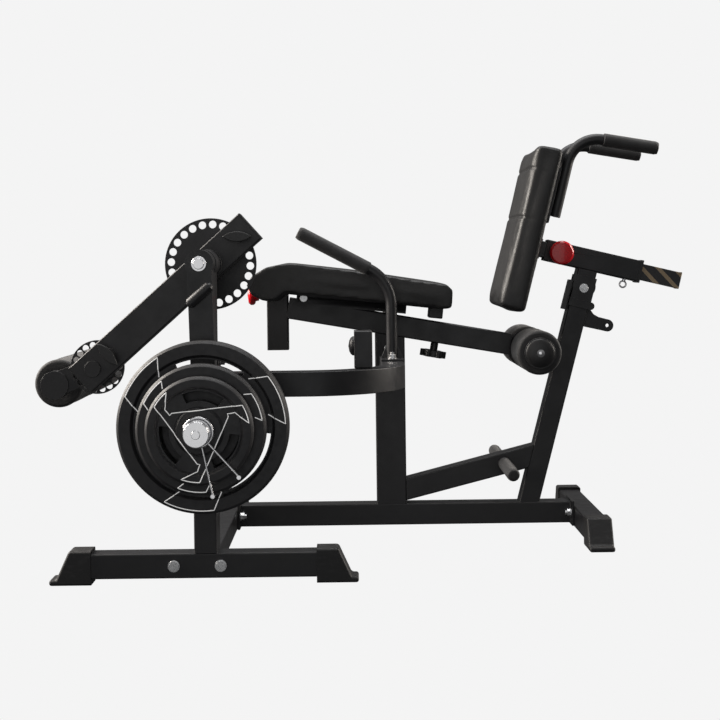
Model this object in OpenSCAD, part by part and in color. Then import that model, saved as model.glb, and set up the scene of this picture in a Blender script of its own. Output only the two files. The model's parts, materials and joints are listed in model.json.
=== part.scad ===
// Plate-loaded leg extension and leg curl machine, in millimetres.
// Origin: on the floor, in the middle of the machine's overall length and width.
// X runs back from the shin rollers to the back rest, Y runs away from the weights, Z is up.
// Sizes below are set out from the upright's centre line; placed() moves them to the origin.

/* [Frame] */
// Depth of the square frame tubes
tube_d = 50; // [45:1:55]
// Width of the upright seen from the side
upright_w = 70; // [60:1:80]
// Wall of every frame tube
wall = 3; // [2:0.5:4]
// Length of the rear foot tube
rear_foot_l = 480; // [400:10:600]
// Length of the long side foot tube
side_foot_l = 540; // [500:10:600]
// Height of the foot tubes above the floor
foot_lift = 12; // [8:1:14]

/* [Lever] */
// Height of the main pivot above the floor
pivot_z = 641; // [630:1:650]
// Distance of the main pivot in front of the upright
pivot_x = -387; // [-395:1:-380]
// Slope of the swing arm at rest
arm_angle = 41.6; // [30:0.1:50]
// Width of the swing arm
arm_w = 70; // [60:1:76]
// Distance from the main pivot to the roller link's pivot
arm_reach = 325; // [300:1:340]
// Number of holes in the big selector disc
disc_holes = 24; // [18:6:24]
// Radius of the big selector disc
disc_r = 97; // [94:1:100]
// Radius of the small selector disc
link_disc_r = 57; // [55:1:60]
// Lean of the weight lever from the vertical
lever_lean = 1.45; // [0:0.05:3]

/* [Weights] */
// Radius of the largest plate
large_plate_r = 167; // [150:1:180]
// Radius of the middle plate
medium_plate_r = 125; // [115:1:135]
// Radius of the smallest plate
small_plate_r = 103; // [95:1:110]

/* [Rollers] */
// Radius of a foam roller on the shin axle
shin_roller_r = 52; // [45:1:56]
// Radius of a foam roller on the rail axle
rail_roller_r = 50; // [45:1:54]

/* [Seat and back] */
// Width of the seat cushion
seat_w = 300; // [280:5:320]
// Width of the back pad
back_w = 280; // [260:5:300]
// Height of the back pad along its lean
back_h = 388; // [360:1:400]
// Thickness of the back pad
back_t = 64; // [60:1:80]

/* [Hidden] */
$fn = 64;

// Colours
black_paint = [0.045, 0.045, 0.05];
dark_vinyl = [0.09, 0.09, 0.095];
foam_black = [0.06, 0.06, 0.065];
rubber_black = [0.07, 0.07, 0.075];
chrome = [0.8, 0.8, 0.82];
red = [0.75, 0.03, 0.06];

// Clearance round anything that turns or slides, and a small lap for clean cuts
run = 0.1;
lap = 1;

// Frame positions
narrow_w = 46;
flange_t = 6;
foot_top = foot_lift + tube_d;
beam_z0 = 20;
beam_top = beam_z0 + tube_d;
side_foot_y = -514;
side_foot_x = -391;
side_post_y0 = -539;
side_post_y1 = -469;
rear_foot_x = 453;
post_face_x = pivot_x + narrow_w / 2;
brace_y = -486;
brace_z = 395;
brace_r = 185;
stay_l = 210;
rail_slope = -10;
rail_start = [-240, 535.5];
rail_l = 532;
rail_top_x0 = -202;
rear_lean = 14.85;
rear_base = [325, 70];
cheek_bolt = [459, 574];
tab_hole = [518, 484];
tab_hole_d = 9;
sleeve_slope = -13.6;
sleeve_start = [371.5, 665.5];
sleeve_l = 226;
foot_bar_at = [267, 162];
foot_bar_half = 219;

// Lever positions: depths run away from the loading side
lever_y0 = -597;
lever_y1 = -552;
arm_y0 = -421;
arm_y1 = -371;
disc_y0 = -368;
disc_t = 8;
link_y0 = -358;
link_y1 = -333;
shaft_d = 25;
pin_ring_r = 84;
link_ring_r = 47;
link_pin_d = 20;
axle_d = 20;
pin_d = 13;
handle_d = 25;
arm_dir = [cos(arm_angle), sin(arm_angle)];
pivot = [pivot_x, pivot_z];
link_at = pivot - arm_reach * arm_dir;
shin_at = link_at + 100.5 * [cos(202.2), sin(202.2)];
horn_at = pivot + 316 * [sin(lever_lean), -cos(lever_lean)];
rail_axle_at = [333, 432];
front_pin_z = 567;
seat_hinge = [-202, 559];
hinge_pin_d = 8;

// Back rest positions
back_lean = 14.2;
back_up = [sin(back_lean), cos(back_lean)];
back_out = [cos(back_lean), -sin(back_lean)];
back_foot = [310, 526];
back_handle_y = 100;
slide_dir = [cos(sleeve_slope), sin(sleeve_slope)];
back_pin_at = sleeve_start + 33 * slide_dir;
ring_pin_at = sleeve_start + 200 * slide_dir;

// The row origin, from the outermost faces of the whole machine
tail_l = sleeve_l + 102;
front_end = shin_at[0] - shin_roller_r;
rear_end = sleeve_start[0] + tail_l * cos(sleeve_slope) - 20 * sin(sleeve_slope);
horn_end = -767;
far_end = rear_foot_l / 2 + 40;
middle = [(front_end + rear_end) / 2, (horn_end + far_end) / 2];

// Moves the machine so that its middle is on the origin
module placed() {
    translate([-middle[0], -middle[1], 0]) children();
}

// A block from two opposite corners
module block(low, high) {
    translate(low) cube(high - low);
}

// A round bar along Y, through the point at = [x, z]
module rod_y(at, y0, y1, d) {
    translate([at[0], y0, at[1]]) rotate([-90, 0, 0]) cylinder(h = y1 - y0, d = d);
}

// A hexagon along Y, across corners d
module hex_y(at, y0, y1, d) {
    translate([at[0], y0, at[1]]) rotate([-90, 0, 0]) cylinder(h = y1 - y0, d = d, $fn = 6);
}

// Moves children so that their local X starts at point [x, z] and climbs at the given angle
module at_slope(point, angle) {
    translate([point[0], 0, point[1]]) rotate([0, -angle, 0]) children();
}

// A hollow box section along local X, centred on Y and Z
module box_tube(length, width, depth, thick = wall) {
    difference() {
        translate([0, -depth / 2, -width / 2]) cube([length, depth, width]);
        translate([-lap, -depth / 2 + thick, -width / 2 + thick])
            cube([length + 2 * lap, depth - 2 * thick, width - 2 * thick]);
    }
}

// The wall of a round tube, as a flat ring
module pipe_ring(d, thick = 2) {
    difference() {
        circle(d = d);
        circle(d = d - 2 * thick);
    }
}

// A flat outline in X and Z, made solid from y0 to y1
module side_plate(y0, y1) {
    translate([0, y1, 0]) rotate([90, 0, 0]) linear_extrude(y1 - y0) children();
}

// A bent handle tube: a straight leg up local Z, a bend towards local X, then a straight grip end
module bent_tube(leg, bend_r, turn, grip) {
    linear_extrude(leg) pipe_ring(handle_d);
    translate([bend_r, 0, leg]) rotate([90, 0, 180]) rotate_extrude(angle = turn)
        translate([bend_r, 0]) pipe_ring(handle_d + 0.2, 2.2);
    at_bend_end(leg, bend_r, turn) linear_extrude(grip - 5) pipe_ring(handle_d);
}

// Places children at the end of a bent tube's bend, with local Z running along its grip end
module at_bend_end(leg, bend_r, turn) {
    translate([bend_r * (1 - cos(turn)), 0, leg + bend_r * sin(turn)]) rotate([0, turn, 0]) children();
}

// A foam grip with a plastic end, over the grip end of a bent tube
module foam_grip(length) {
    difference() {
        union() {
            translate([0, 0, 2]) cylinder(h = length - 8, d = 31);
            translate([0, 0, length - 6]) cylinder(h = 6, d = 28);
        }
        translate([0, 0, -lap]) cylinder(h = length - 5 + lap, d = handle_d);
    }
}

// A selector disc with a ring of lock holes, one of them lying at angle phase
module holed_disc(at, radius, bore, ring_r, count, hole_d, phase) {
    side_plate(disc_y0, disc_y0 + disc_t) translate(at) difference() {
        circle(r = radius, $fn = 96);
        circle(d = bore);
        for (i = [0 : count - 1])
            rotate(phase + i * 360 / count) translate([ring_r, 0]) circle(d = hole_d);
    }
}

// A rubber foot cap over a tube end, with a sloped outer end; local X points outwards
module foot_cap() {
    difference() {
        translate([0, 28, 0]) rotate([90, 0, 0]) linear_extrude(56)
            polygon([[-44, 6], [-44, 69], [0, 69], [26, 12], [40, 12], [40, 0], [-44, 0]]);
        translate([-44 - lap, -tube_d / 2, foot_lift]) cube([44 + lap, tube_d, tube_d]);
    }
}

// A lens-shaped pull handle with its spring housing and its pin; local Z points out of the face
module pull_pin(depth_in, turn, reach) {
    rotate(turn) translate([0, 0, reach]) linear_extrude(9) intersection() {
        translate([0, 37.6]) circle(r = 48.1);
        translate([0, -37.6]) circle(r = 48.1);
    }
    translate([0, 0, -depth_in]) cylinder(h = depth_in + reach, d = pin_d);
}

// A mushroom knob with its pin; local Z points out of the face
module mushroom_pin(depth_in, d) {
    translate([0, 0, -depth_in]) cylinder(h = depth_in + 24, d = pin_d);
    rotate_extrude() polygon([
        [0, 20], [14, 20], [15, 27], [d / 2 - 3, 29], [d / 2, 33], [d / 2, 39], [d / 2 - 4, 44],
        [0, 47]
    ]);
}

// A spring housing ring round a pin, standing on a face; local Z points out of the face
module pin_housing(height) {
    difference() {
        cylinder(h = height, d = 24);
        translate([0, 0, -lap]) cylinder(h = height + 2 * lap, d = pin_d + 2 * run);
    }
}

// Puts children on the arm's near face at [x, z]; their Z points at the loading side
module on_arm_face(at) {
    translate([at[0], arm_y0, at[1]]) rotate([90, 0, 0]) children();
}

// ---- Base ----

module side_foot() color(black_paint) {
    translate([side_foot_x - side_foot_l / 2, side_foot_y, foot_lift + tube_d / 2])
        box_tube(side_foot_l, tube_d, tube_d);
}

module side_foot_caps() color(rubber_black) {
    translate([side_foot_x + side_foot_l / 2, side_foot_y, 0]) foot_cap();
    translate([side_foot_x - side_foot_l / 2, side_foot_y, 0]) rotate(180) foot_cap();
}

// Runs under the seat from the side foot to the plain side, with a bolting plate at the foot
module cross_tube() color(black_paint) {
    near_y = side_foot_y + tube_d / 2;
    block([-475, near_y, 14], [-333, near_y + flange_t, 60]);
    translate([pivot_x, near_y + flange_t, foot_top - narrow_w / 2]) rotate(90)
        box_tube(250 - near_y - flange_t, narrow_w, narrow_w);
}

module cross_tube_cap() color(rubber_black) {
    difference() {
        block([pivot_x - 28, 210, 0], [pivot_x + 28, 262, 69]);
        block([pivot_x - narrow_w / 2, 210 - lap, 16], [pivot_x + narrow_w / 2, 250, foot_top]);
    }
}

module rear_foot() color(black_paint) {
    translate([rear_foot_x, -rear_foot_l / 2, foot_lift + tube_d / 2]) rotate(90)
        box_tube(rear_foot_l, tube_d, tube_d);
}

module rear_foot_caps() color(rubber_black) {
    for (side = [-1, 1])
        translate([rear_foot_x, side * rear_foot_l / 2, 0]) rotate(side * 90) foot_cap();
}

// The long low tube, with a bolting plate at each end
module main_beam() color(black_paint) {
    x1 = rear_foot_x - tube_d / 2;
    translate([post_face_x + flange_t, 0, beam_z0 + tube_d / 2])
        box_tube(x1 - post_face_x - 2 * flange_t, tube_d, tube_d);
    block([post_face_x, -46, 16], [post_face_x + flange_t, 46, 74]);
    block([x1 - flange_t, -46, 16], [x1, 46, 74]);
}

module upright() color(black_paint) {
    difference() {
        block([-upright_w / 2, -tube_d / 2, beam_top], [upright_w / 2, tube_d / 2, 480]);
        block([-upright_w / 2 + wall, -tube_d / 2 + wall, beam_top - lap],
            [upright_w / 2 - wall, tube_d / 2 - wall, 500]);
        at_slope(rail_start, rail_slope) translate([0, -tube_d, -tube_d / 2])
            cube([rail_l, 2 * tube_d, 3 * tube_d]);
    }
}

module lower_strut() color(black_paint) {
    difference() {
        at_slope([35, 103], 14.2) translate([-12, 0, 0]) box_tube(330, tube_d, tube_d);
        block([0, -tube_d, 0], [upright_w / 2, tube_d, 200]);
        at_slope(rear_base, 90 - rear_lean) translate([-50, -tube_d, narrow_w / 2 - 200])
            cube([300, 2 * tube_d, 200]);
        translate([foot_bar_at[0], -tube_d, foot_bar_at[1]]) rotate([-90, 0, 0])
            cylinder(h = 2 * tube_d, d = 29);
    }
}

// Leans back from the main beam and carries the back rest's sleeve
module rear_post() color(black_paint) {
    difference() {
        at_slope(rear_base, 90 - rear_lean) translate([-20, 0, 0]) box_tube(605, narrow_w, tube_d);
        block([200, -tube_d, 0], [500, tube_d, beam_top]);
        at_slope(sleeve_start, sleeve_slope) translate([0, -tube_d, -tube_d / 2])
            cube([300, 2 * tube_d, 200]);
    }
}

// The post beside the plates, with the bearing housing across its top
module side_post() color(black_paint) {
    difference() {
        union() {
            difference() {
                block([pivot_x - narrow_w / 2, side_post_y0, foot_top],
                    [post_face_x, side_post_y1, pivot_z]);
                block([pivot_x - narrow_w / 2 + wall, side_post_y0 + wall, foot_top - lap],
                    [post_face_x - wall, side_post_y1 - wall, pivot_z + lap]);
            }
            rod_y(pivot, side_post_y0 - 5, side_post_y1 + 6, 58);
        }
        rod_y(pivot, side_post_y0 - 10, side_post_y1 + 10, 42);
    }
}

// Runs back from the side post, turns in towards the seat and meets the upright
module side_brace() color(black_paint) {
    straight_x = -brace_r;
    bend_y = brace_y + brace_r;
    block([post_face_x, -518, 328], [post_face_x + flange_t, -472, 462]);
    translate([post_face_x + flange_t, brace_y, brace_z])
        box_tube(straight_x - post_face_x - flange_t, tube_d, tube_d);
    translate([straight_x, bend_y, brace_z]) rotate(-90) rotate_extrude(angle = 90, $fn = 96)
        translate([brace_r, 0]) difference() {
            square(tube_d, center = true);
            square(tube_d - 2 * wall, center = true);
        }
    translate([0, bend_y, brace_z]) rotate(90)
        box_tube(-tube_d / 2 - bend_y, tube_d, tube_d);
}

// Stub on the plain side that carries the far handle
module handle_stay() color(black_paint) {
    translate([0, tube_d / 2, brace_z]) rotate(90) box_tube(stay_l, tube_d, tube_d);
    translate([0, tube_d / 2 + stay_l, brace_z]) block([-22, 0, -22], [22, 3, 22]);
}

module seat_rail() color(black_paint) {
    difference() {
        at_slope(rail_start, rail_slope) box_tube(rail_l, tube_d, tube_d);
        rod_y(rail_axle_at, -tube_d, tube_d, 60);
        at_slope(rail_start, rail_slope) translate([357, 0, -tube_d]) cylinder(h = 2 * tube_d, d = 9);
        rod_y(seat_hinge, -tube_d, tube_d, hinge_pin_d + 2 * run);
    }
    difference() {
        block([-214, -22, 549], [-190, 22, 566]);
        rod_y(seat_hinge, -tube_d, tube_d, hinge_pin_d + 2 * run);
        at_slope(rail_start, rail_slope) translate([0, -tube_d, -tube_d / 2])
            cube([rail_l, 2 * tube_d, tube_d]);
    }
    difference() {
        rod_y(rail_axle_at, -30, 30, 60);
        rod_y(rail_axle_at, -31, 31, axle_d);
    }
}

// Upright socket at the front end of the rail
module front_socket() color(black_paint) {
    difference() {
        block([-290, -tube_d / 2, 436], [-240, tube_d / 2, 592]);
        block([-290 + wall, -tube_d / 2 + wall, 430], [-240 - wall, tube_d / 2 - wall, 600]);
        translate([-300, 0, front_pin_z]) rotate([0, 90, 0]) cylinder(h = 30, d = pin_d + 2 * run);
    }
    translate([-290, 0, front_pin_z]) rotate([0, -90, 0]) pin_housing(12);
}

// Sleeve that the back rest slides in
module back_sleeve() color(black_paint) {
    difference() {
        at_slope(sleeve_start, sleeve_slope) box_tube(sleeve_l, tube_d, tube_d);
        rod_y(back_pin_at, -30, 0, pin_d + 2 * run);
        at_slope(sleeve_start, sleeve_slope) translate([200, 0, -30]) cylinder(h = 10, d = 8.2);
    }
    translate([back_pin_at[0], -tube_d / 2, back_pin_at[1]]) rotate([90, 0, 0]) pin_housing(14);
}

module sleeve_glide() color(rubber_black) {
    at_slope(sleeve_start, sleeve_slope) difference() {
        union() {
            translate([sleeve_l, -27, -27]) cube([6, 54, 54]);
            translate([sleeve_l - 20, -22, -22]) cube([20, 44, 44]);
        }
        translate([sleeve_l - 30, -19.2, -19.2]) cube([50, 38.4, 38.4]);
    }
}

// Two cheeks bolted beside the top of the rear post, with a front strip, a strap and a holed tab
module lock_plate() color(black_paint) {
    for (side = [-1, 1])
        difference() {
            side_plate(side * 28 - 3, side * 28 + 3) {
                translate(cheek_bolt) rotate(-rear_lean) difference() {
                    union() {
                        translate([-25, -44]) square([50, 72]);
                        translate([0, 4]) circle(d = 54);
                    }
                }
            }
            rod_y(cheek_bolt, -40, 40, 10);
            at_slope(sleeve_start, sleeve_slope) translate([0, -tube_d, -tube_d / 2])
                cube([300, 2 * tube_d, 200]);
        }
    side_plate(-4, 4) difference() {
        union() {
            polygon([
                [462, 482], [474, 530], [479, 521], [486, 511], [497, 504.5], [521.7, 498],
                [514.3, 470]
            ]);
            translate(tab_hole) circle(d = 29);
        }
        translate(tab_hole) circle(d = tab_hole_d);
        translate(rear_base) rotate(-rear_lean) translate([-narrow_w / 2, 0])
            square([narrow_w, 600]);
    }
    difference() {
        rod_y(tab_hole, -6, 6, 18);
        rod_y(tab_hole, -7, 7, tab_hole_d);
    }
    at_slope(rear_base, 90 - rear_lean) {
        translate([462, -34, 29.5]) cube([72, 68, 3]);
        translate([505, 0, 20]) cylinder(h = 10, d = 20);
        difference() {
            union() {
                translate([475, -34, -26]) cube([18, 68, 52]);
                translate([484, -34, -26]) rotate([-90, 0, 0]) cylinder(h = 68, d = 18);
            }
            translate([460, -tube_d / 2, -narrow_w / 2]) cube([40, tube_d, narrow_w]);
        }
    }
}

module foot_bar() color(black_paint) {
    rod_y(foot_bar_at, -foot_bar_half + 4, foot_bar_half - 4, 24);
    rod_y(foot_bar_at, -31, 31, 29);
}

module foot_bar_grips() color(foam_black) {
    for (side = [-1, 1])
        scale([1, side, 1]) difference() {
            union() {
                rod_y(foot_bar_at, 32, foot_bar_half - 8, 30);
                rod_y(foot_bar_at, foot_bar_half - 8, foot_bar_half, 27);
            }
            rod_y(foot_bar_at, 0, foot_bar_half - 4, 24);
        }
}

// Post on the brace with a domed rubber stop for the swing arm
module arm_stop() {
    color(black_paint) block([-85, -440, brace_z + tube_d / 2], [-47, -384, 498]);
    color(rubber_black) translate([-85, -411, 466]) rotate([0, -90, 0]) rotate_extrude()
        polygon([[0, 0], [20, 0], [20, 3], [17, 7], [11, 10], [0, 12]]);
}

// Chrome fasteners of the frame: heads and nuts on the outside of the joints
module frame_bolts() color(chrome) {
    // Round heads on the side foot
    for (x = [-451, -357]) {
        rod_y([x, 37], side_foot_y - tube_d / 2 - 2, side_foot_y - tube_d / 2, 24);
        rod_y([x, 37], side_foot_y - tube_d / 2 - 7, side_foot_y - tube_d / 2 - 2, 20);
    }
    // Nuts on the beam's end plates
    for (side = [-1, 1]) {
        translate([post_face_x + flange_t, side * 36, 46]) rotate([0, 90, 0]) hex_nut();
        translate([rear_foot_x - tube_d / 2 - flange_t, side * 36, 46]) rotate([0, -90, 0]) hex_nut();
    }
    // Nuts on the brace's end plate
    for (z = [346, 444])
        translate([post_face_x + flange_t, -495, z]) rotate([0, 90, 0]) hex_nut();
    // Bolt through the cheeks of the rear post
    for (side = [-1, 1])
        translate([cheek_bolt[0], side * 31, cheek_bolt[1]]) rotate([side * -90, 0, 0]) hex_nut();
    // Nuts at the feet of the seat handles
    for (side = [-1, 1], row = [-1, 1])
        translate([0, side * seat_handle_y + row * 27, brace_z + tube_d / 2 + 5]) hex_nut();
    // Small bolt on the side of the upright
    rod_y([-7, 438], -tube_d / 2 - 8, -tube_d / 2, 14);
}

// A washer and a nut with its bolt end; local Z points away from the joint
module hex_nut() {
    cylinder(h = 2, d = 21);
    translate([0, 0, 2]) cylinder(h = 8, d = 17, $fn = 6);
    translate([0, 0, 10]) cylinder(h = 5, d = 10);
}

// ---- Handles beside the seat ----

seat_handle_y = 190;
seat_leg = 120;
seat_bend_r = 90;
seat_turn = 61.9;
seat_grip_l = 182;

// Places children at the foot of a seat handle, with local Z up and local X towards the grip
module at_seat_handle(side) {
    translate([0, side * seat_handle_y, brace_z + tube_d / 2 + 5]) rotate(180) children();
}

// Foot plate and two gussets of each seat handle
module seat_handle_feet() color(black_paint) {
    for (side = [-1, 1])
        at_seat_handle(side) {
            block([-25, -42, -5], [25, 42, 0]);
            for (way = [-1, 1])
                side_plate(-3, 3) scale([way, 1]) polygon([[13, 0], [24, 0], [24, 4], [13, 26]]);
        }
}

module seat_handles() color(black_paint) {
    for (side = [-1, 1])
        at_seat_handle(side) bent_tube(seat_leg, seat_bend_r, seat_turn, seat_grip_l);
}

module seat_grips() color(foam_black) {
    for (side = [-1, 1])
        at_seat_handle(side) at_bend_end(seat_leg, seat_bend_r, seat_turn) foam_grip(seat_grip_l);
}

// ---- Main pivot ----

module pivot_bearings() color(chrome) {
    for (y0 = [side_post_y0 - 5, side_post_y1 - 8])
        difference() {
            rod_y(pivot, y0, y0 + 14, 42);
            rod_y(pivot, y0 - lap, y0 + 14 + lap, shaft_d + 2 * run);
        }
}

// Shaft with its collars, the near washer and bolt head, and the inner nut
module pivot_shaft() color(chrome) {
    rod_y(pivot, lever_y0 - 3, disc_y0 + disc_t + 12, shaft_d);
    rod_y(pivot, lever_y0 - 6, lever_y0, 30);
    rod_y(pivot, lever_y0 - 13, lever_y0 - 6, 21);
    rod_y(pivot, lever_y1, side_post_y0 - 6, 40);
    rod_y(pivot, side_post_y1 + 7, side_post_y1 + 26, 52);
    rod_y(pivot, side_post_y1 + 26, arm_y0 - 1, 60);
    hex_y(pivot, disc_y0 + disc_t, disc_y0 + disc_t + 12, 38);
}

// Hangs from the shaft beside the post and carries the plate horn
module weight_lever() color(black_paint) {
    difference() {
        side_plate(lever_y0, lever_y1) translate(pivot) rotate(lever_lean) {
            circle(d = 56);
            translate([-24, -346]) square([48, 346]);
        }
        rod_y(pivot, lever_y0 - lap, lever_y1 + lap, shaft_d);
        rod_y(horn_at, lever_y0 - lap, lever_y1 + lap, 30);
        side_plate(lever_y0 + wall, lever_y1 - wall) translate(pivot) rotate(lever_lean)
            translate([-24 + wall, -347]) square([48 - 2 * wall, 300]);
    }
    // Short round stop bar on the lever's face
    translate([-386, lever_y0 - 3, 580]) rotate([0, 49, 0]) rotate_extrude()
        polygon([[0, -31], [6, -31], [11, -25], [11, 25], [6, 31], [0, 31]]);
}

module selector_disc() color(black_paint) {
    holed_disc(pivot, disc_r, shaft_d, pin_ring_r, disc_holes, 16.5, arm_angle);
}

// Horn tube with its fixing plate and end cap
module plate_horn() color(chrome) {
    difference() {
        union() {
            rod_y(horn_at, -758, lever_y0 - 7, 49.6);
            rod_y(horn_at, lever_y0 - 7, lever_y0, 90);
            rod_y(horn_at, lever_y0 - lap, lever_y1 - 3, 30);
        }
        rod_y(horn_at, -752, lever_y0 - 7, 40);
        rod_y(horn_at, lever_y0 - 8, lever_y1, 22);
    }
    rod_y(horn_at, -763, -758, 47);
    rod_y(horn_at, horn_end, -763, 16);
}

// A plate with a thick rim, a thick hub and three curved grip slots
module grip_plate(y0, t, radius, hub_r, slot_in, slot_out, turn) {
    web = 0.6;
    translate([horn_at[0], y0 + t, horn_at[1]]) rotate([90, 0, 0]) difference() {
        rotate_extrude($fn = 120) polygon([
            [25.4, 0], [hub_r, 0], [hub_r + 5, t * (1 - web) / 2], [slot_out + 3, t * (1 - web) / 2],
            [slot_out + 8, 0], [radius - 5, 0], [radius, 5], [radius, t - 5], [radius - 5, t],
            [slot_out + 8, t], [slot_out + 3, t * (1 + web) / 2], [hub_r + 5, t * (1 + web) / 2],
            [hub_r, t], [25.4, t]
        ]);
        for (i = [0 : 2])
            rotate(turn + i * 120 - 31) translate([0, 0, -lap])
                rotate_extrude(angle = 62, $fn = 120)
                    translate([slot_in, 0]) square([slot_out - slot_in, t + 2 * lap]);
    }
}

plate_gap = 1;
large_t = 40;
medium_t = 34;
small_t = 28;
large_y0 = lever_y0 - 7 - plate_gap - large_t;
medium_y0 = large_y0 - plate_gap - medium_t;
small_y0 = medium_y0 - plate_gap - small_t;

module large_plate() color(rubber_black) {
    grip_plate(large_y0, large_t, large_plate_r, 52, 104, 132, 83);
}

module medium_plate() color(rubber_black) {
    grip_plate(medium_y0, medium_t, medium_plate_r, 46, 74, 95, 83);
}

module small_plate() color(rubber_black) {
    grip_plate(small_y0, small_t, small_plate_r, 42, 58, 76, 83);
}

// Coil of three turns round the horn with two wire legs
module spring_clip() color(chrome) {
    pitch = 4.5;
    for (i = [0 : 2])
        translate([horn_at[0], small_y0 - 5 - i * pitch, horn_at[1]]) rotate([90, 0, 0])
            rotate_extrude() translate([27.4, 0]) circle(d = 5, $fn = 24);
    clip_leg(small_y0 - 5, -78, 96);
    clip_leg(small_y0 - 5 - 2 * pitch, -48, 86);
}

// One leg of the clip: a wire with a round bead at its end, hanging from the coil at an angle
module clip_leg(y, angle, length) {
    translate([horn_at[0], y, horn_at[1]]) rotate([0, -angle, 0]) translate([27.4, 0, 0]) {
        rotate([0, 90, 0]) cylinder(h = length, d = 4.2);
        translate([length, -6, 0]) rotate([-90, 0, 0]) cylinder(h = 24, d = 8);
    }
}

// ---- Swing arm ----

module swing_arm() color(black_paint) {
    hub_d = 44;
    arm_back = arm_reach + 33;
    difference() {
        union() {
            difference() {
                translate([0, (arm_y0 + arm_y1) / 2, 0]) at_slope(pivot, arm_angle)
                    translate([-arm_back, 0, 0]) box_tube(arm_back + 115, arm_w, tube_d);
                rod_y(pivot, arm_y0 - lap, arm_y1 + lap, hub_d - 4);
                rod_y(link_at, arm_y0 - lap, arm_y1 + lap, hub_d - 4);
            }
            rod_y(pivot, arm_y0, arm_y1, hub_d);
            rod_y(link_at, arm_y0, arm_y1, hub_d);
            on_arm_face(pivot + pin_ring_r * arm_dir) cylinder(h = 14, d = 24);
            on_arm_face(link_at + link_ring_r * arm_dir) cylinder(h = 14, d = 24);
        }
        rod_y(pivot, arm_y0 - lap, arm_y1 + lap, 32);
        rod_y(link_at, arm_y0 - lap, arm_y1 + lap, link_pin_d + 2 * run);
        rod_y(pivot + pin_ring_r * arm_dir, arm_y0 - 20, arm_y1 + lap, pin_d + 2 * run);
        rod_y(link_at + link_ring_r * arm_dir, arm_y0 - 20, arm_y1 + lap, pin_d + 2 * run);
    }
}

// Plastic plugs in both ends of the arm
module arm_plugs() color(rubber_black) {
    translate([0, (arm_y0 + arm_y1) / 2, 0]) at_slope(pivot, arm_angle) {
        plug([115, 0, 0], 1);
        plug([-arm_reach - 33, 0, 0], -1);
    }
}

// A plug with a thin head outside the tube and a short spigot in it
module plug(at, way) {
    translate(at) scale([way, 1, 1]) {
        translate([0, -tube_d / 2, -arm_w / 2]) cube([4, tube_d, arm_w]);
        translate([-6, -tube_d / 2 + wall, -arm_w / 2 + wall])
            cube([6, tube_d - 2 * wall, arm_w - 2 * wall]);
    }
}

module arm_bushes() color("goldenrod") {
    for (y0 = [arm_y0, arm_y1 - 20])
        difference() {
            rod_y(pivot, y0, y0 + 20, 32);
            rod_y(pivot, y0 - lap, y0 + 20 + lap, shaft_d + 2 * run);
        }
}

module arm_pin() {
    on_arm_face(pivot + pin_ring_r * arm_dir) color(rubber_black) pull_pin(tube_d, 0, 20);
}

module link_pin() {
    on_arm_face(link_at + link_ring_r * arm_dir) color(rubber_black)
        pull_pin(tube_d, arm_angle - 90, 20);
}

// ---- Roller link and shin rollers ----

module roller_link() color(black_paint) {
    length = norm(shin_at - link_at);
    turn = atan2(shin_at[1] - link_at[1], shin_at[0] - link_at[0]);
    difference() {
        union() {
            side_plate(link_y0, link_y1) translate(link_at) rotate(turn) {
                circle(r = 23);
                polygon([[0, -23], [length, -26], [length, 26], [0, 23]]);
            }
            rod_y(shin_at, link_y0 - 4, link_y1 + 3, 60);
        }
        rod_y(link_at, link_y0 - lap, link_y1 + lap, link_pin_d);
        rod_y(shin_at, link_y0 + 4, link_y1 + 5, axle_d);
    }
}

// Pivot bolt of the roller link, with its round cap on the arm's near face
module link_pivot() color(black_paint) {
    rod_y(link_at, arm_y0 - 1, link_y1 + 1, link_pin_d);
    rod_y(link_at, arm_y0 - 7, arm_y0 - 1, 34);
    hex_y(link_at, link_y1 + 1, link_y1 + 11, 32);
}

module link_disc() color(black_paint) {
    holed_disc(link_at, link_disc_r, link_pin_d, link_ring_r, 18, 14.5, arm_angle);
}

near_y0 = -318;
near_y1 = -45;
far_y0 = -39;
far_y1 = 234;

module shin_axle() color(black_paint) {
    rod_y(shin_at, link_y0 + 4, 242, axle_d);
    rod_y(shin_at, near_y1 + 0.5, far_y0 - 0.5, 28);
    rod_y(shin_at, 236, 248, 44);
}

// A foam roller on a plastic core, free to turn on its axle
module foam_roller(at, y0, y1, radius) {
    difference() {
        union() {
            rod_y(at, y0 + 3, y1 - 3, 2 * radius);
            rod_y(at, y0, y1, 2 * radius - 8);
        }
        rod_y(at, y0 - lap, y1 + lap, axle_d + 2 * run);
    }
}

module shin_roller_near() color(foam_black) {
    foam_roller(shin_at, near_y0, near_y1, shin_roller_r);
}

module shin_roller_far() color(foam_black) {
    foam_roller(shin_at, far_y0, far_y1, shin_roller_r);
}

// ---- Rail rollers ----

module rail_axle() color(black_paint) {
    rod_y(rail_axle_at, -196, 196, axle_d);
    for (side = [-1, 1]) {
        rod_y(rail_axle_at, side * 191 - 5, side * 191 + 5, 70);
        rod_y(rail_axle_at, side * 34 - 3, side * 34 + 3, 90);
    }
}

module rail_roller_near() color(foam_black) {
    foam_roller(rail_axle_at, -185, -38, rail_roller_r);
}

module rail_roller_far() color(foam_black) {
    foam_roller(rail_axle_at, 38, 185, rail_roller_r);
}

// ---- Seat ----

// Cushion with a rolled nose, notched in the middle to clear the front socket
module seat_pad() color(dark_vinyl) {
    difference() {
        side_plate(-seat_w / 2, seat_w / 2) polygon([
            [144, 531.1], [147, 574], [134, 586], [-90, 622], [-235, 640], [-285, 632], [-318, 612],
            [-331, 592], [-320, 568], [-292, 553], [-262, 554], [-240, 573]
        ]);
        block([-340, -40, 500], [-230, 40, 700]);
    }
}

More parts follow.
